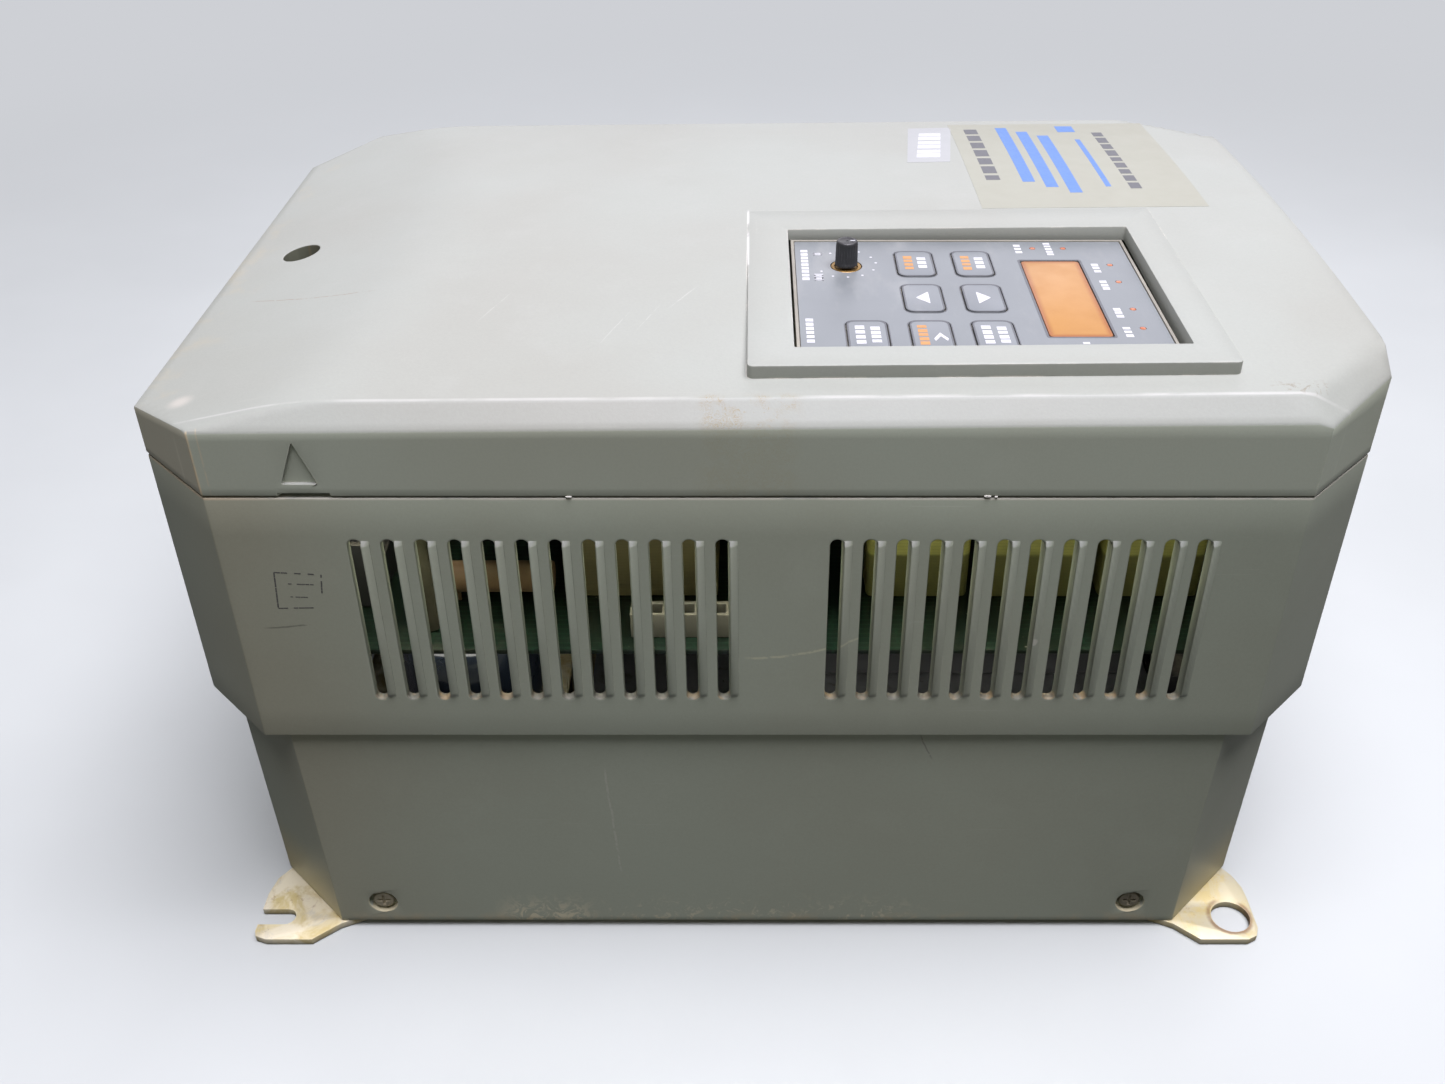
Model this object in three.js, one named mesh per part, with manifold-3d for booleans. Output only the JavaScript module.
// Wall-mounted AC motor drive with a keypad, as an assembly of separate pieces.
// Millimetres. The drive lies on its back: +Z points out of the front cover, +X to its top end,
// -Y to its right-hand side. The origin is the centre of the mounting plate's rear face.
import * as THREE from "three";
import { mergeVertices } from "three/addons/utils/BufferGeometryUtils.js";
import { ConvexGeometry } from "three/addons/geometries/ConvexGeometry.js";
import Module from "manifold-3d";

// ---------------------------------------------------------------- driving dimensions
const COVER_HX = 182.0; // half length of the front cover
const COVER_HY = 124.6; // half width of the front cover
const CORNER = 24.4; // 45 degree corner of the cover, in plan
const WALL = 3.0; // plastic wall
const SEAM_Z = 182.2; // joint between cover and housing
const SEAM_GAP = 0.7;
const STEP_Z = 93.0; // joint between housing and lower shell
const PLATE_T = 2.5; // steel mounting plate
const GAP = 0.3; // general gap between neighbours

const SIDE_TOP_Z = 204.6; // top of the cover's side wall
const BAND = 6.2; // 45 degree band above the side wall
const CROWN_Z = 215.3; // top of the crowned cover at its middle
const CROWN_K = 3.15e-4; // crown fall per mm squared of Y
const SLOPE_END_Z = 198.3; // cover height at its -X end
const SLOPE = 0.219; // slope of the cover's -X part
const TAPER = 0.0095; // rise of the whole cover top towards +X, per mm
const COVER_PIVOT = [182.3, 0, 182.2]; // heel of the cover, about which it swings open

const BEZEL = { x0: -3.3, x1: 135.6, y0: -108.6, y1: 8.0, z: 215.6 };
const WINDOW = { x0: 10.3, x1: 124.4, y0: -96.8, y1: -9.2 };

const VENT_PITCH = 9.71; // side louvres
const VENT_W = 3.5; // through width
const VENT_BEVEL = 1.3; // extra outer width on the +X edge
const VENT_Z0 = 108.2,
  VENT_Z1 = 167.8;
const VENT_LEFT_X = -119.3,
  VENT_RIGHT_X = 20.8; // first slot of each group of twelve

const HOLE_X = 170.0,
  HOLE_Y = 122.6; // mounting hole pitch 340 x 245
const EAR_X = 178.0,
  EAR_Y = 132.7;

const OP = { x0: 11.2, x1: 123.0, y0: -96.0, y1: -11.2, z: 211.2 }; // keypad case
const KEY = { lx: 12.0, ly: 20.0, top: 211.25 };
const KEY_TRAVEL = 0.5;
const KEYPAD_LIFT = 1.6; // rise of the whole keypad on its bracket
const KNOB = [28.8, -32.5];
const LEDS = [
  [91.8, -18.0],
  [102.0, -18.0],
  [114.8, -31.7],
  [114.8, -45.0],
  [114.8, -65.2],
  [114.8, -78.5],
];
const DISPLAY = { x0: 86.2, x1: 105.0, y0: -84.0, y1: -28.5 };

// ---------------------------------------------------------------- solids
const wasm = await Module();
wasm.setup();

const solidFrom = (geometry) => {
  const g = geometry.clone();
  g.deleteAttribute("normal");
  g.deleteAttribute("uv");
  const m = mergeVertices(g, 1e-4);
  return new wasm.Manifold(
    new wasm.Mesh({
      numProp: 3,
      vertProperties: m.attributes.position.array,
      triVerts: new Uint32Array(m.index.array),
    }),
  );
};
const geometryFrom = (solid) => {
  const m = solid.getMesh();
  const v = new Float32Array(m.numVert * 3);
  for (let i = 0; i < m.numVert; i++)
    v.set(m.vertProperties.subarray(i * m.numProp, i * m.numProp + 3), i * 3);
  const g = new THREE.BufferGeometry();
  g.setAttribute("position", new THREE.BufferAttribute(v, 3));
  g.setIndex(new THREE.BufferAttribute(new Uint32Array(m.triVerts), 1));
  g.computeVertexNormals();
  return g;
};
const join = (...s) => s.flat().reduce((a, b) => a.add(b));
const cut = (a, ...s) => s.flat().reduce((x, b) => x.subtract(b), a);

const box = (x0, x1, y0, y1, z0, z1) =>
  solidFrom(
    new THREE.BoxGeometry(x1 - x0, y1 - y0, z1 - z0).translate(
      (x0 + x1) / 2,
      (y0 + y1) / 2,
      (z0 + z1) / 2,
    ),
  );
// round bar from a to b along an axis; c and d are the centre on the other two axes
const rod = (axis, r, a, b, c, d, seg = 20, r2 = r) => {
  const g = new THREE.CylinderGeometry(r2, r, b - a, seg); // along +Y
  if (axis === "z") g.rotateX(Math.PI / 2).translate(c, d, (a + b) / 2);
  if (axis === "x") g.rotateZ(-Math.PI / 2).translate((a + b) / 2, c, d);
  if (axis === "y") g.translate(c, (a + b) / 2, d);
  return solidFrom(g);
};
// outline in XY, raised from z0 to z1
const prism = (pts, z0, z1) => {
  const s = new THREE.Shape(pts.map(([x, y]) => new THREE.Vector2(x, y)));
  return solidFrom(
    new THREE.ExtrudeGeometry(s, { depth: z1 - z0, bevelEnabled: false }).translate(0, 0, z0),
  );
};
// outline in YZ, run from x0 to x1, rising by taper per mm along X
const prismX = (pts, x0, x1, taper = 0) => {
  const s = new THREE.Shape(pts.map(([y, z]) => new THREE.Vector2(y, z)));
  const g = new THREE.ExtrudeGeometry(s, { depth: x1 - x0, bevelEnabled: false });
  g.applyMatrix4(new THREE.Matrix4().set(0, 0, 1, x0, 1, 0, 0, 0, 0, 1, 0, 0, 0, 0, 0, 1));
  g.applyMatrix4(new THREE.Matrix4().set(1, 0, 0, 0, 0, 1, 0, 0, taper, 0, 1, 0, 0, 0, 0, 1));
  return solidFrom(g);
};
// outline in XZ, run from y0 to y1
const prismY = (pts, y0, y1) => {
  const s = new THREE.Shape(pts.map(([x, z]) => new THREE.Vector2(x, z)));
  const g = new THREE.ExtrudeGeometry(s, { depth: y1 - y0, bevelEnabled: false });
  g.applyMatrix4(new THREE.Matrix4().set(1, 0, 0, 0, 0, 0, -1, y1, 0, 1, 0, 0, 0, 0, 0, 1));
  return solidFrom(g);
};
const hull = (pts) => solidFrom(new ConvexGeometry(pts.map((p) => new THREE.Vector3(...p))));
const oct = (hx, hy, c) => [
  [hx, -hy + c],
  [hx, hy - c],
  [hx - c, hy],
  [-hx + c, hy],
  [-hx, hy - c],
  [-hx, -hy + c],
  [-hx + c, -hy],
  [hx - c, -hy],
];
// octagonal frustum between two levels
const frustum = (z0, [hx0, hy0, c0], z1, [hx1, hy1, c1]) =>
  hull([
    ...oct(hx0, hy0, c0).map(([x, y]) => [x, y, z0]),
    ...oct(hx1, hy1, c1).map(([x, y]) => [x, y, z1]),
  ]);
const inset = ([hx, hy, c], t) => [hx - t, hy - t, c - 0.5858 * t];
const roundedRect = (x0, x1, y0, y1, r, n = 3) => {
  const out = [];
  for (const [cx, cy, a] of [
    [x1 - r, y0 + r, -90],
    [x1 - r, y1 - r, 0],
    [x0 + r, y1 - r, 90],
    [x0 + r, y0 + r, 180],
  ])
    for (let i = 0; i <= n; i++) {
      const t = ((a + (90 * i) / n) * Math.PI) / 180;
      out.push([cx + r * Math.cos(t), cy + r * Math.sin(t)]);
    }
  return out;
};
// flared louvre cut: a stadium of width w at the inside and w + bevel at the outside
const stadium = (u0, u1, v0, v1, n = 3) => {
  const r = (u1 - u0) / 2,
    c = (u0 + u1) / 2,
    out = [];
  for (let i = 0; i <= n; i++) {
    const t = (Math.PI * i) / n;
    out.push([c + r * Math.cos(t), v1 - r + r * Math.sin(t)]);
  }
  for (let i = 0; i <= n; i++) {
    const t = Math.PI + (Math.PI * i) / n;
    out.push([c + r * Math.cos(t), v0 + r + r * Math.sin(t)]);
  }
  return out;
};

const group = new THREE.Group();
const paint = (color, roughness, metalness) => ({ color, roughness, metalness });
const HOUSING = paint(0x8e9089, 0.55, 0.0);
const ZINC = paint(0xcfc39b, 0.38, 0.85);
const ALUMINIUM = paint(0xb4b7ba, 0.4, 0.9);
const BLACK = paint(0x1c1d1e, 0.5, 0.0);
const BOARD = paint(0x1f5a3a, 0.45, 0.0);
const STEEL = paint(0xa9abad, 0.32, 0.95);
// about: point of the drive's frame that becomes the mesh's own origin
const part = (parent, name, solid, finish, at = [0, 0, 0], about = [0, 0, 0]) => {
  const shape = geometryFrom(solid).translate(-about[0], -about[1], -about[2]);
  const mesh = new THREE.Mesh(shape, new THREE.MeshStandardMaterial(finish));
  mesh.name = name;
  mesh.position.set(...at);
  parent.add(mesh);
  return mesh;
};

// ---------------------------------------------------------------- front cover
const crown = (y) => CROWN_Z - CROWN_K * y * y;
const coverSolid = (t, z0) => {
  const yTop = COVER_HY - BAND;
  const hy = COVER_HY - t;
  const bandTop = yTop - 0.414 * t;
  const profile = [
    [-hy, z0 - 5],
    [hy, z0 - 5],
    [hy, SIDE_TOP_Z - 0.414 * t],
  ];
  const n = 14;
  for (let i = 0; i <= n; i++) {
    const y = bandTop - (2 * bandTop * i) / n;
    profile.push([y, crown(y) - t]);
  }
  profile.push([-hy, SIDE_TOP_Z - 0.414 * t]);
  let s = prismX(profile, -COVER_HX + t, COVER_HX - t, TAPER);
  const [hx, hy2, c] = inset([COVER_HX, COVER_HY, CORNER], t);
  s = s.intersect(prism(oct(hx, hy2, c), z0, 240));
  // sloping -X part
  const zs = (x) => SLOPE_END_Z - t * 1.017 + SLOPE * (x + COVER_HX);
  s = s.subtract(
    prismY([[-200, zs(-200)], [-60, zs(-60)], [-60, 260], [-200, 260]], -150, 150),
  );
  // facets at the +X corners
  const zf = (x, y) =>
    SIDE_TOP_Z + 0.4 - (113.7 * (x - 157.6) - 143.3 * (y + COVER_HY)) / 218.4 - t * 1.28;
  for (const sy of [1, -1]) {
    const base = [[100, -150], [215, -150], [215, -45], [100, -45]];
    s = s.subtract(
      hull([
        ...base.map(([x, y]) => [x, y * sy, zf(x, y)]),
        ...base.map(([x, y]) => [x, y * sy, zf(x, y) + 160]),
      ]),
    );
  }
  return s;
};
const coverZ0 = SEAM_Z + SEAM_GAP / 2;
let cover = coverSolid(0, coverZ0);
cover = cover.add(
  prismY(
    [
      [BEZEL.x0, 206],
      [BEZEL.x1, 206],
      [BEZEL.x1, BEZEL.z + TAPER * BEZEL.x1],
      [BEZEL.x0, BEZEL.z + TAPER * BEZEL.x0],
    ],
    BEZEL.y0,
    BEZEL.y1,
  ),
);
cover = cover.subtract(coverSolid(WALL, coverZ0 - 5));
cover = cover.subtract(box(WINDOW.x0, WINDOW.x1, WINDOW.y0, WINDOW.y1, 190, 230));
// screw well at the -X end
const SCREW = [-158.8, 0];
cover = cover.add(
  rod("z", 8.6, 187.5, 201.6, SCREW[0], SCREW[1], 24).subtract(
    prismY([[-200, 194.9], [-140, 206.2], [-140, 230], [-200, 230]], -20, 20),
  ),
);
cover = cut(
  cover,
  rod("z", 6.3, 189.5, 230, SCREW[0], SCREW[1], 24),
  rod("z", 2.5, 180, 195, SCREW[0], SCREW[1], 16),
);
// pressed triangle marks and the latch slits below them, one pair on each long side
for (const sy of [-1, 1]) {
  const y0 = sy < 0 ? -COVER_HY - 1 : COVER_HY - 1.1,
    y1 = sy < 0 ? -COVER_HY + 1.1 : COVER_HY + 1;
  cover = cut(
    cover,
    prismY([[-134.5, 186.6], [-124.3, 186.6], [-129.3, 200.2]], y0, y1),
    box(-136.2, -121.0, y0, y1 - 0 + (sy < 0 ? 0.6 : 0), coverZ0 - 1, coverZ0 + 0.9),
  );
}
// hinge tongues behind the +X end wall
for (const y of [-60, 60])
  cover = cover.add(
    prismY(
      [[173.2, 178.4], [175.8, 178.4], [175.8, 188], [180.4, 188], [180.4, 191.4], [173.2, 191.4]],
      y - 11,
      y + 11,
    ),
  );
// stiffening ribs under the crown, clear of the window
for (const x of [-96, -44])
  cover = cover.add(
    box(x - 1, x + 1, -100, 100, 204.5, 213.4).intersect(coverSolid(1.5, coverZ0)),
  );
const coverGroup = new THREE.Group();
coverGroup.position.set(...COVER_PIVOT);
group.add(coverGroup);
part(coverGroup, "front_cover", cover, HOUSING, [0, 0, 0], COVER_PIVOT);

const crossSlot = (cx, cy, z0, z1, l = 4.6, w = 1.0) =>
  join(
    box(cx - l / 2, cx + l / 2, cy - w / 2, cy + w / 2, z0, z1),
    box(cx - w / 2, cx + w / 2, cy - l / 2, cy + l / 2, z0, z1),
  );
part(
  coverGroup,
  "cover_screw",
  cut(
    join(
      rod("z", 2.0, 176.2, 190.4, SCREW[0], SCREW[1], 12),
      rod("z", 4.0, 189.8, 192.8, SCREW[0], SCREW[1], 20),
    ),
    crossSlot(SCREW[0], SCREW[1], 191.4, 194),
  ),
  STEEL,
  [0, 0, 0],
  COVER_PIVOT,
);

// ---------------------------------------------------------------- upper housing
const UP_TOP = [COVER_HX, COVER_HY, CORNER];
const UP_BOT = [COVER_HX - 0.9, COVER_HY + 1.9, CORNER - 0.4];
const upZ0 = STEP_Z + GAP / 2,
  upZ1 = SEAM_Z - SEAM_GAP / 2;
let upper = frustum(upZ0, UP_BOT, upZ1, UP_TOP);
upper = upper.subtract(frustum(upZ0 + 3, inset(UP_BOT, WALL), upZ1 + 0.01, inset(UP_TOP, WALL)));
upper = upper.subtract(prism(oct(166, 110, 22), upZ0 - 2, upZ0 + 6));
// rim that locates the cover
upper = upper.add(
  prism(oct(...inset(UP_TOP, 2.8)), 175, upZ1).subtract(prism(oct(...inset(UP_TOP, 5)), 170, 190)),
);
upper = upper.add(
  prism(oct(...inset(UP_TOP, 3.5)), 181, 184.6).subtract(prism(oct(...inset(UP_TOP, 5)), 170, 190)),
);
// post that takes the cover screw
upper = upper.add(
  join(box(-180, -153.2, -5.5, 5.5, 166, 181.5), box(-176.6, -153.2, -5.5, 5.5, 181, 187.0)),
);
upper = upper.subtract(rod("z", 2.5, 170, 190, SCREW[0], SCREW[1], 16));
// side louvres
const halfAt = (z) => UP_BOT[1] + ((UP_TOP[1] - UP_BOT[1]) * (z - upZ0)) / (upZ1 - upZ0);
const slots = [];
for (const sy of [-1, 1])
  for (const x0 of [VENT_LEFT_X, VENT_RIGHT_X])
    for (let i = 0; i < 12; i++) {
      const x = x0 + VENT_PITCH * i;
      const yo = 127.6,
        yi = 120.4;
      const flare = (127.6 - 120.4) / WALL;
      const outer = stadium(x, x + VENT_W + VENT_BEVEL * flare * 0.75, VENT_Z0, VENT_Z1);
      const inner = stadium(x, x + VENT_W, VENT_Z0 + 0.6, VENT_Z1 - 0.6);
      slots.push(
        hull([
          ...outer.map(([u, v]) => [u, sy * yo, v]),
          ...inner.map(([u, v]) => [u, sy * yi, v]),
        ]),
      );
    }
// exhaust slots in the +X end
for (let i = 0; i < 10; i++) {
  const y = -56.5 + i * 12 + (i > 4 ? 2 : 0);
  slots.push(
    hull([
      ...stadium(y - 2.6, y + 2.6, 116, 160).map(([u, v]) => [185, u, v]),
      ...stadium(y - 1.8, y + 1.8, 117, 159).map(([u, v]) => [176, u, v]),
    ]),
  );
}
upper = upper.subtract(join(slots));
// opening for the gland plate in the -X end, with a shallow frame round it
upper = upper.subtract(box(-190, -170, -78, 78, 104, 152));
part(group, "upper_housing", upper, HOUSING);

// gland plate, slid in behind the end wall
const GLAND_HOLES = [
  [-54, 128, 14.5],
  [-18, 128, 14.5],
  [18, 128, 14.5],
  [54, 128, 14.5],
];
let gland = join(
  box(-180.4, -177.4, -77.6, 77.6, 104.4, 151.6),
  box(-177.9, -175.6, -81.5, 81.5, 100.6, 155.4),
);
gland = cut(
  gland,
  GLAND_HOLES.map(([y, z, r]) => rod("x", r, -190, -170, y, z, 20)),
);
part(group, "gland_plate", gland, HOUSING);

// ---------------------------------------------------------------- lower shell
const LOW_TOP = [175.2, 124.1, 25.2];
const LOW_BOT = [173.6, 124.5, 25.6];
const lowZ0 = PLATE_T + GAP,
  lowZ1 = STEP_Z - GAP / 2;
let lower = frustum(lowZ0, LOW_BOT, lowZ1, LOW_TOP);
lower = lower.subtract(
  frustum(lowZ0 - 0.01, inset(LOW_BOT, WALL), lowZ1 + 0.01, inset(LOW_TOP, WALL)),
);
// recesses and holes of the four side screws
const SIDE_SCREWS = [
  [-132, -1],
  [131.6, -1],
  [-132, 1],
  [131.6, 1],
];
const SIDE_Z = 12.4;
for (const [x, sy] of SIDE_SCREWS) {
  // thicker pad behind each screw
  lower = lower.add(
    sy < 0 ? box(x - 7, x + 7, -123, -118.5, lowZ0, 21) : box(x - 7, x + 7, 118.5, 123, lowZ0, 21),
  );
}
for (const [x, sy] of SIDE_SCREWS) {
  lower = cut(
    lower,
    sy < 0 ? rod("y", 4.9, -130, -121.6, x, SIDE_Z, 20) : rod("y", 4.9, 121.6, 130, x, SIDE_Z, 20),
    sy < 0 ? rod("y", 2.4, -126, -115, x, SIDE_Z, 12) : rod("y", 2.4, 115, 126, x, SIDE_Z, 12),
  );
}
// fan outlets in the +X end and air inlets in the -X end
const FAN_Y = 46,
  FAN_Z = 44;
for (const y of [-FAN_Y, FAN_Y])
  lower = lower.subtract(rod("x", 37.5, 168, 182, y, FAN_Z, 28));
const inlets = [];
for (let i = 0; i < 14; i++) {
  const y = -84.5 + 13 * i;
  inlets.push(
    hull([
      ...stadium(y - 3, y + 3, 16, 76).map(([u, v]) => [-180, u, v]),
      ...stadium(y - 3, y + 3, 16, 76).map(([u, v]) => [-168, u, v]),
    ]),
  );
}
lower = lower.subtract(join(inlets));
part(group, "lower_shell", lower, HOUSING);

// ---------------------------------------------------------------- mounting plate
const nearEar = (sx) => {
  // outline of one corner ear, written for the -Y side
  const o =
    sx < 0
      ? [[-140, -118], [-140, -122], [-148.3, -125.6], [-157, -EAR_Y], [-173.2, -EAR_Y], [-EAR_X + 0.8, -131.2], [-EAR_X, -129], [-EAR_X, -112], [-176.4, -104.7], [-171.5, -97.5], [-168, -94], [-150, -94]]
      : [[140, -118], [150, -94], [168, -94], [171.8, -98.2], [175.6, -103.6], [177.6, -109], [EAR_X, -114], [EAR_X, -127.6], [176.6, -131], [173.2, -EAR_Y], [156.4, -EAR_Y], [148.5, -125.8], [140, -122]];
  return o;
};
let plate = prism(oct(170.2, 121.2, 25.6), 0, PLATE_T);
for (const sx of [-1, 1])
  for (const sy of [-1, 1]) {
    let o = nearEar(sx);
    if (sy > 0) o = o.map(([x, y]) => [x, -y]).reverse();
    plate = plate.add(prism(o, 0, PLATE_T));
  }
for (const sy of [-1, 1]) {
  plate = cut(
    plate,
    rod("z", 3.4, -1, 4, -168.6, sy * HOLE_Y, 16),
    box(-185, -168.6, sy * HOLE_Y - 3.4, sy * HOLE_Y + 3.4, -1, 4),
    rod("z", 6.8, -1, 4, HOLE_X - 0.4, sy * HOLE_Y, 28),
  );
  // lip of the open slot, folded corner relief
  plate = cut(plate, prism(sy < 0
    ? [[-179, -119.0], [-175.4, -119.4], [-175.0, -120.6], [-179, -120.6]]
    : [[-179, 120.6], [-175.0, 120.6], [-175.4, 119.4], [-179, 119.0]], -1, 4));
}
// rear cut-outs that lighten the plate
plate = cut(
  plate,
  prism(roundedRect(-150, -96, -70, -18, 8), -1, 4),
  prism(roundedRect(-150, -96, 18, 70, 8), -1, 4),
);
part(group, "mounting_plate", plate, ZINC);

// side screws, pan head with a cross recess; each stands in its own small group
SIDE_SCREWS.forEach(([x, sy], i) => {
  const g = new THREE.Group();
  g.position.set(x, sy * 121.9, SIDE_Z);
  group.add(g);
  const head = rod("y", 4.2, 0, 1.7, 0, 0, 16, 3.4);
  const shank = rod("y", 1.9, -8.5, 0.4, 0, 0, 8);
  const slotA = box(-2.3, 2.3, 0.7, 3, -0.5, 0.5),
    slotB = box(-0.5, 0.5, 0.7, 3, -2.3, 2.3);
  const screw = part(g, "side_screw_" + (i + 1), cut(join(head, shank), slotA, slotB), STEEL);
  if (sy < 0) screw.rotation.z = Math.PI;
});

// ---------------------------------------------------------------- heatsink and power parts
const HS = { x0: -58, x1: 138, hy: 108, z0: 2.9, z1: 78, base: 8 };
{
  const pts = [];
  const n = 16,
    pitch = (2 * HS.hy - 2.6) / (n - 1);
  pts.push([-HS.hy, HS.z1], [-HS.hy, HS.z0]);
  for (let i = 0; i < n; i++) {
    const a = -HS.hy + pitch * i,
      b = a + 2.6;
    if (i > 0) pts.push([a, HS.z1 - HS.base], [a, HS.z0]);
    pts.push([b, HS.z0]);
    if (i < n - 1) pts.push([b, HS.z1 - HS.base]);
  }
  pts.push([HS.hy, HS.z1]);
  part(group, "heatsink", prismX(pts, HS.x0, HS.x1), ALUMINIUM);
}

// DC link capacitors and their clamp
const CAPS = [-84, -28, 28, 84];
const canSolid = () => {
  const r = 23.5;
  const prof = [
    [0, 0], [r, 0], [r, 89], [r - 1.4, 90.6], [r, 92.2], [r, 96], [0, 96],
  ].map(([x, y]) => new THREE.Vector2(x, y));
  const g = new THREE.LatheGeometry(prof, 18);
  g.rotateX(Math.PI / 2);
  return solidFrom(g);
};
const can = canSolid();
CAPS.forEach((y, i) =>
  part(group, "dc_capacitor_" + (i + 1), can, paint(0x20262c, 0.35, 0.1), [-98, y, 20]),
);
part(
  group,
  "capacitor_clamp",
  cut(
    prism(roundedRect(-126, -68, -112, 112, 6), 66, 68.5),
    CAPS.map((y) => rod("z", 24.3, 60, 75, -98, y, 20)),
  ),
  ZINC,
);

// power modules on the heatsink
const igbt = cut(
  join(
    box(8, 130, -78, -16, 78.3, 92),
    box(14, 124, -70, -24, 91, 96),
    [20, 40, 60, 80, 100, 118].map((x) => box(x - 3, x + 3, -69, -60, 95, 104)),
  ),
  [[13, -47], [125, -47]].map(([x, y]) => rod("z", 2.8, 70, 99, x, y, 12)),
);
part(group, "igbt_module", igbt, BLACK);
const rect = cut(
  join(
    box(20, 114, 22, 56, 78.3, 98),
    box(24, 110, 26, 52, 97, 104),
    [34, 56, 78, 100].map((x) => box(x - 5, x + 5, 30, 48, 103, 107)),
  ),
  [[26, 39], [108, 39]].map(([x, y]) => rod("z", 2.8, 70, 110, x, y, 12)),
);
part(group, "rectifier_module", rect, BLACK);

// power board with holes for the capacitor cans
const PB_Z0 = 119.6,
  PB_Z1 = 121.2;
part(
  group,
  "power_board",
  cut(
    prism(
      [[-150, -104], [-138, -118], [146, -118], [158, -106], [158, 106], [146, 118], [-138, 118], [-150, 104]],
      PB_Z0,
      PB_Z1,
    ),
    box(-155, -118, -30, 30, 110, 130),
    box(30, 90, -6, 14, 110, 130),
  ),
  BOARD,
);

// DC bus bars from the modules to the board
const busbar = (y, x0) =>
  prismY(
    [[x0, 108.4], [x0 + 22, 108.4], [x0 + 22, 111.2], [x0 + 2.6, 111.2], [x0 + 2.6, 119.2], [x0, 119.2]],
    y - 7,
    y + 7,
  );
part(group, "busbar_positive", busbar(39, 28), paint(0xb8733d, 0.35, 0.95));
part(group, "busbar_negative", busbar(39, 72), paint(0xb8733d, 0.35, 0.95));

// main terminal block at the cable end
let mtb = join(
  box(-150, -122, -96, 96, 121.5, 134),
  box(-150, -146.5, -96, 96, 121.5, 146),
  Array.from({ length: 12 }, (_, i) => -95 + (190 / 11) * i).map((y) =>
    box(-147, -124, y - 1, y + 1, 130, 146),
  ),
);
mtb = mtb.add(
  join(
    Array.from({ length: 11 }, (_, i) => -95 + (190 / 11) * (i + 0.5)).map((y) =>
      rod("z", 4.4, 133.5, 137.5, -134, y, 8),
    ),
  ),
);
part(group, "main_terminal_block", mtb, BLACK);

// board-mounted parts seen through the side louvres
const filmCap = (lx, ly, h) =>
  join(prism(roundedRect(-lx / 2, lx / 2, -ly / 2, ly / 2, 2, 2), 0, h));
part(group, "film_capacitor_1", filmCap(33, 15, 25), paint(0xd2b93f, 0.45, 0), [52, -83, 121.5]);
part(group, "film_capacitor_2", filmCap(33, 15, 25), paint(0xc8b04a, 0.45, 0), [90, -83, 121.5]);
part(group, "film_capacitor_3", filmCap(33, 15, 25), paint(0xbfa94c, 0.45, 0), [128, -83, 121.5]);
let trafo = join(
  box(-63, -13, -90, -50, 121.5, 127),
  box(-57, -19, -91, -49, 127, 150),
  box(-61, -15, -84, -56, 129, 146),
);
part(group, "power_supply_transformer", trafo, paint(0xcdb545, 0.5, 0.0));
part(group, "precharge_relay", join(box(-20, 8, 60, 90, 121.5, 146), box(-17, 5, 63, 87, 145, 147)), paint(0x2b4f86, 0.4, 0));
part(
  group,
  "power_resistor",
  join(
    rod("x", 5.2, -100, -66, -92, 131, 14),
    box(-98, -96.8, -92.6, -91.4, 121.5, 131),
    box(-69.2, -68, -92.6, -91.4, 121.5, 131),
  ),
  paint(0x8a7458, 0.7, 0),
);
part(
  group,
  "board_connector",
  cut(
    box(-40, 2, -112, -104.5, 121.5, 130.5),
    Array.from({ length: 8 }, (_, i) => box(-38.4 + 5 * i, -35 + 5 * i, -110.6, -106, 124, 134)),
  ),
  paint(0xb6b4ab, 0.5, 0),
);
[-62, -2, 60].forEach((y, i) =>
  part(
    group,
    "current_sensor_" + (i + 1),
    cut(box(-10, 10, -13, 13, 0, 30), rod("x", 6, -15, 15, 0, 17, 16)),
    BLACK,
    [-58, y + (i === 0 ? 30 : i === 2 ? 42 : 30), 121.5],
  ),
);

// ---------------------------------------------------------------- control level
let tray = prism(
  [[-108, -112], [150, -112], [158, -104], [158, 104], [150, 112], [-108, 112]],
  160.4,
  162,
);
tray = tray.add(
  join(
    [[-96, -98], [-96, 98], [144, -98], [144, 98]].map(([x, y]) =>
      rod("z", 3.2, 161.5, 169.6, x, y, 8),
    ),
  ),
);
// legs down to the power board
tray = tray.add(
  join(
    [[-104, -106], [-104, 106], [150, -100], [150, 100]].map(([x, y]) =>
      rod("z", 3.4, 121.6, 161, x, y, 8),
    ),
  ),
);
part(group, "control_tray", tray, ZINC);
part(
  group,
  "control_board",
  cut(
    box(-100, 148, -102, 102, 170, 171.6),
    box(2, 8.2, -104, -8, 165, 175),
    box(125.2, 131.4, -104, -8, 165, 175),
  ),
  BOARD,
);
part(
  group,
  "control_terminal_block",
  cut(
    join(box(-97, -84, -78, 78, 171.9, 181), box(-92, -84, -78, 78, 180, 185)),
    Array.from({ length: 20 }, (_, i) => rod("z", 1.9, 182, 190, -88, -74.1 + 7.8 * i, 6)),
  ),
  paint(0x2f7d4c, 0.45, 0),
);

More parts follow.
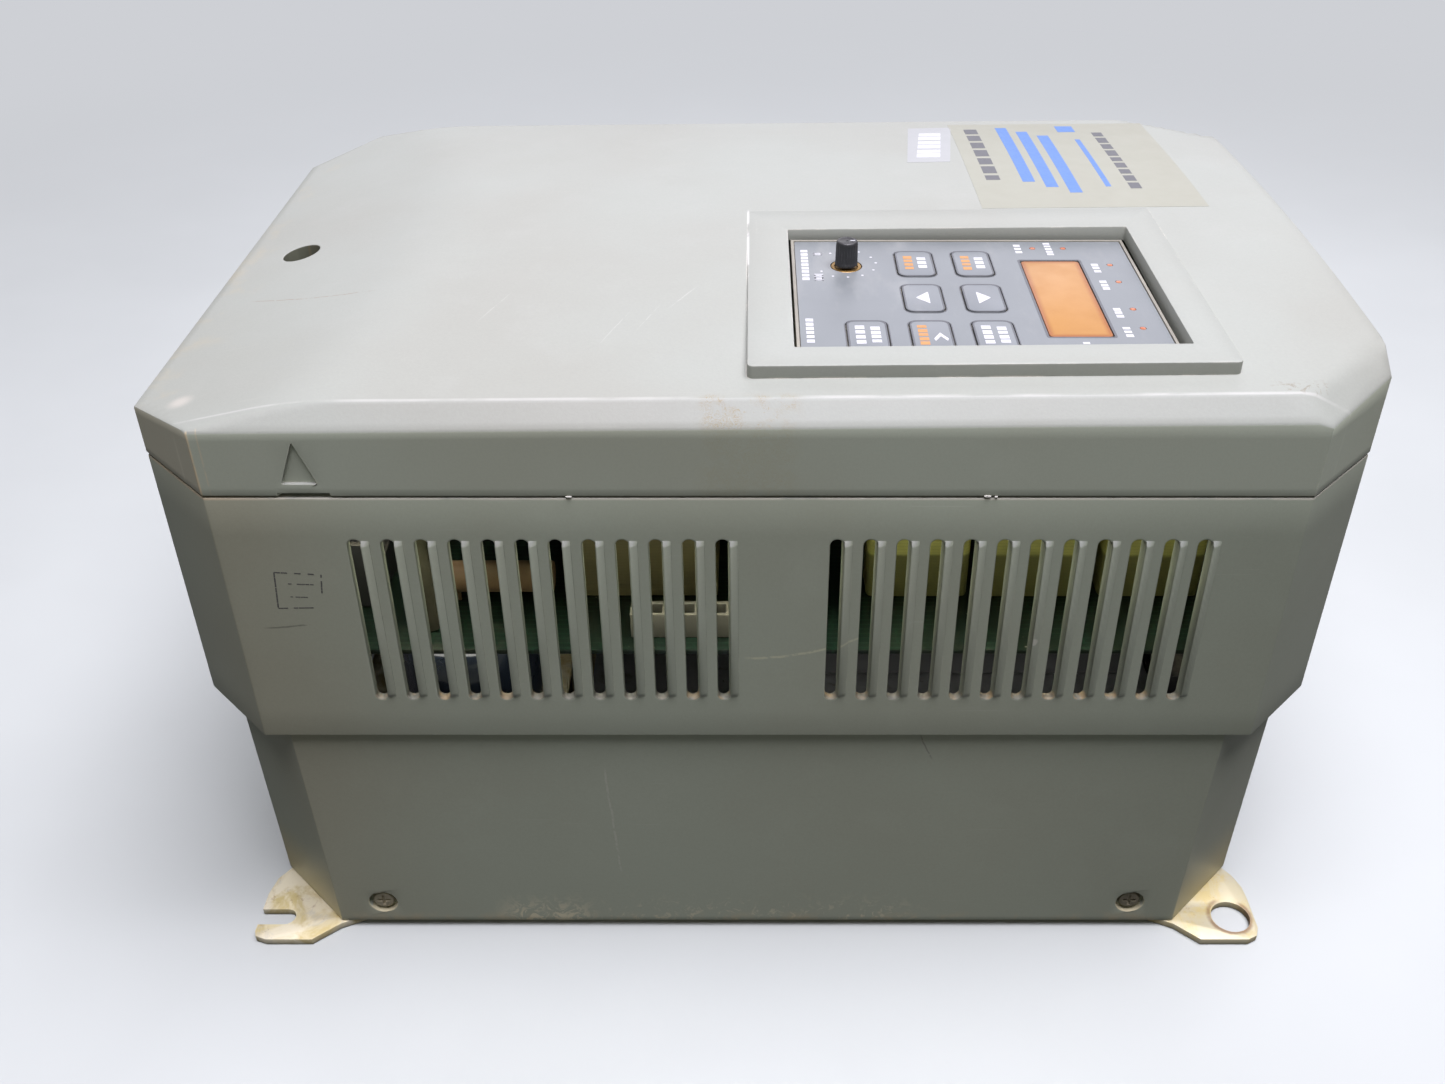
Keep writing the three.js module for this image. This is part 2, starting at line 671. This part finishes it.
// ---------------------------------------------------------------- keypad (operator)
// the keypad is drawn at its nominal level and stands KEYPAD_LIFT above it on its bracket
const keypad = new THREE.Group();
keypad.position.set(0, 0, KEYPAD_LIFT);
group.add(keypad);
let opCase = join(
  box(OP.x0, OP.x1, OP.y0, OP.y1, 191, OP.z),
);
opCase = cut(
  opCase,
  box(OP.x0 + 2, OP.x1 - 2, OP.y0 + 2, OP.y1 - 2, 180, 207),
  box(OP.x0 + 0.9, OP.x1 - 0.9, OP.y0 + 0.9, OP.y1 - 0.9, 210.1, 215),
);
const KEYS = {
  key_forward_reverse: [51.3, -31.0],
  key_run_stop: [70.1, -31.0],
  key_down: [51.3, -57.5],
  key_up: [70.1, -57.5],
  key_read_enter: [32.4, -83.8],
  key_reset: [51.3, -83.8],
  key_display_function: [70.1, -83.8],
};
let overlay = prism(
  roundedRect(OP.x0 + 1.2, OP.x1 - 1.2, OP.y0 + 1.2, OP.y1 - 1.2, 0.8, 2),
  210.4,
  211.0,
);
for (const [x, y] of Object.values(KEYS)) {
  const kx = KEY.lx / 2 + 0.4,
    ky = KEY.ly / 2 + 0.4;
  const pocket = roundedRect(x - kx, x + kx, y - ky, y + ky, 3.0);
  overlay = overlay.subtract(prism(pocket, 209, 213));
  opCase = cut(
    opCase,
    prism(pocket, 209.3, 213),
    box(x - 4.4, x + 4.4, y - 7.4, y + 7.4, 200, 213),
  );
}
// display, lamps and potentiometer openings
opCase = cut(
  opCase,
  box(DISPLAY.x0 - 0.3, DISPLAY.x1 + 0.3, DISPLAY.y0 - 0.3, DISPLAY.y1 + 0.3, 209, 213),
  box(DISPLAY.x0 + 1, DISPLAY.x1 - 1, DISPLAY.y0 + 1, DISPLAY.y1 - 1, 200, 213),
  LEDS.map(([x, y]) => rod("z", 1.9, 200, 213, x, y, 10)),
  rod("z", 5.2, 200, 213, KNOB[0], KNOB[1], 24),
);
overlay = cut(
  overlay,
  box(DISPLAY.x0 - 0.3, DISPLAY.x1 + 0.3, DISPLAY.y0 - 0.3, DISPLAY.y1 + 0.3, 209, 213),
  LEDS.map(([x, y]) => rod("z", 1.9, 200, 213, x, y, 10)),
  rod("z", 5.2, 200, 213, KNOB[0], KNOB[1], 24),
);
part(keypad, "operator_case", opCase, BLACK);
part(keypad, "operator_overlay", overlay, paint(0x7f8892, 0.42, 0));

// keys: cap, stem and a flange that keeps the key in the case
const keySolid = join(
  prism(roundedRect(-KEY.lx / 2, KEY.lx / 2, -KEY.ly / 2, KEY.ly / 2, 2.7), -1.0, 0),
  box(-4, 4, -7, 7, -7.6, -0.8),
  box(-5.2, 5.2, -8.4, 8.4, -7.6, -4.7),
);
for (const [name, [x, y]] of Object.entries(KEYS))
  part(keypad, name, keySolid, paint(0x868e97, 0.5, 0), [x, y, KEY.top]);

part(
  keypad,
  "display_window",
  prism(roundedRect(DISPLAY.x0, DISPLAY.x1, DISPLAY.y0, DISPLAY.y1, 1.2, 2), 209.3, 210.9),
  paint(0xe8954a, 0.15, 0),
);
part(
  keypad,
  "display_module",
  join(
    box(88, 103.2, -82, -30.5, 197.9, 208.4),
    Array.from({ length: 4 }, (_, i) => box(90.4, 101, -80 + 12.8 * i, -70.5 + 12.8 * i, 208, 208.9)),
  ),
  paint(0x8a3b16, 0.4, 0),
);
part(
  keypad,
  "indicator_light_pipe",
  join(
    box(90.3, 116.3, -19.5, -16.5, 203.4, 205.4),
    box(113.3, 116.3, -80, -16.5, 203.4, 205.4),
    LEDS.map(([x, y]) => rod("z", 1.45, 205, 211.5, x, y, 8, 1.2)),
  ),
  paint(0xe07a3a, 0.25, 0),
);
// keypad board with a tactile switch under each key
part(
  keypad,
  "operator_board",
  join(
    cut(
      box(14, 120.2, -93.2, -14, 196, 197.6),
      rod("z", 2, 190, 200, 20, -20, 10),
      rod("z", 2, 190, 200, 116, -88, 10),
    ),
    Object.values(KEYS).map(([x, y]) => box(x - 3, x + 3, y - 3, y + 3, 197.3, 201.6)),
    Object.values(KEYS).map(([x, y]) => rod("z", 1.7, 201.4, 202.8, x, y, 6)),
  ),
  BOARD,
);
// potentiometer: can, bushing with hex nut, turning shaft and knob
part(
  keypad,
  "potentiometer_body",
  cut(
    join(
      rod("z", 8, 197.9, 206.6, KNOB[0], KNOB[1], 20),
      rod("z", 3.5, 206, 210.8, KNOB[0], KNOB[1], 16),
      rod("z", 4.7, 207.4, 209.8, KNOB[0], KNOB[1], 6),
    ),
    rod("z", 1.9, 201.5, 215, KNOB[0], KNOB[1], 14),
  ),
  paint(0xb79a55, 0.4, 0.8),
);
part(
  keypad,
  "potentiometer_shaft",
  rod("z", 1.5, 202, 218.6 - KEYPAD_LIFT, 0, 0, 14),
  STEEL,
  [KNOB[0], KNOB[1], 0],
);
{
  // knurled knob: a star-shaped outline with a pointer flat
  const n = 14,
    h = 9.8 - KEYPAD_LIFT,
    pts = [];
  for (let i = 0; i < 2 * n; i++) {
    const a = (Math.PI * i) / n,
      r = i % 2 ? 3.45 : 3.7;
    pts.push([r * Math.cos(a), r * Math.sin(a)]);
  }
  const body = join(
    prism(pts, 0, h - 1.1),
    rod("z", 3.35, h - 1.2, h, 0, 0, 16, 2.9),
  );
  const knob = cut(
    body,
    rod("z", 1.8, -1, h - 2.2, 0, 0, 14),
    box(1.0, 5, -0.35, 0.35, h - 0.5, h + 1),
  );
  part(keypad, "frequency_knob", knob, BLACK, [KNOB[0], KNOB[1], 211.6]);
}
// bracket that carries the keypad above the control board
part(
  group,
  "operator_bracket",
  join(
    cut(
      box(3.2, 130.4, -92, -15, 187.4, 189),
      box(40, 95, -75, -32, 180, 192),
    ),
    box(3.2, 6.2, -92, -15, 162.3, 188.5),
    box(127.4, 130.4, -92, -15, 162.3, 188.5),
  ),
  ZINC,
);
// ribbon cable from the control board up to the keypad
{
  const mid = [
    [60, 172.2],
    [60, 180],
    [66, 185.5],
    [70, 190.5],
    [70, 195.6 + KEYPAD_LIFT],
  ];
  const t = 0.5,
    left = mid.map(([x, z]) => [x - t, z]),
    right = mid.map(([x, z]) => [x + t, z]).reverse();
  part(
    group,
    "ribbon_cable",
    join(
      prismY([...left, ...right].reverse(), -66, -40),
      box(57, 63, -68, -38, 171.9, 177),
      box(67, 73, -68, -38, 191.5, 195.7 + KEYPAD_LIFT),
    ),
    paint(0x9a9c9e, 0.6, 0),
  );
}

// ---------------------------------------------------------------- cooling fans
const fanFrame = () => {
  // 80 mm frame, 25 mm thick, axis along X, hub carried by four arms on the inner side
  const ring = cut(
    prismX(roundedRect(-40, 40, -40, 40, 4, 2), 0, 25),
    rod("x", 37.2, -1, 26, 0, 0, 24),
    [[-35.8, -35.8], [-35.8, 35.8], [35.8, -35.8], [35.8, 35.8]].map(([y, z]) =>
      rod("x", 2.1, -1, 26, y, z, 8),
    ),
  );
  return join(
    ring,
    rod("x", 15.5, 0, 3, 0, 0, 16),
    box(0.2, 2.8, -39, 39, -1.6, 1.6),
    box(0.2, 2.8, -1.6, 1.6, -39, 39),
  );
};
const fanRotor = () => {
  const blades = [];
  for (let i = 0; i < 7; i++) {
    // blade as a pitched plate from hub to tip
    const b = new THREE.BoxGeometry(15, 1.3, 20.5);
    b.rotateZ(0.62).translate(0, 0, 24.6);
    b.rotateX((2 * Math.PI * i) / 7);
    blades.push(solidFrom(b));
  }
  return join(rod("x", 15.5, -8.5, 8.5, 0, 0, 20), blades);
};
const guardSolid = () => {
  // stamped finger guard: three rings on four arms
  const ringPart = (r0, r1, n) =>
    rod("x", r1, 0, 1.2, 0, 0, n).subtract(rod("x", r0, -1, 2, 0, 0, n));
  return join(
    ringPart(35.2, 38.6, 20),
    ringPart(25.4, 27.2, 16),
    ringPart(15.6, 17.4, 12),
    rod("x", 7, 0, 1.2, 0, 0, 10),
    box(0, 1.2, -1.1, 1.1, -36.5, 36.5),
    box(0, 1.2, -36.5, 36.5, -1.1, 1.1),
  );
};
const frameS = fanFrame(),
  rotorS = fanRotor(),
  guardS = guardSolid();
[
  ["left", FAN_Y],
  ["right", -FAN_Y],
].forEach(([side, y]) => {
  const g = new THREE.Group();
  g.position.set(142.5, y, FAN_Z);
  group.add(g);
  part(g, "fan_frame_" + side, frameS, BLACK);
  part(g, "fan_rotor_" + side, rotorS, BLACK, [13.2, 0, 0]);
  part(g, "fan_guard_" + side, guardS, STEEL, [25.8, 0, 0]);
});

export default group;
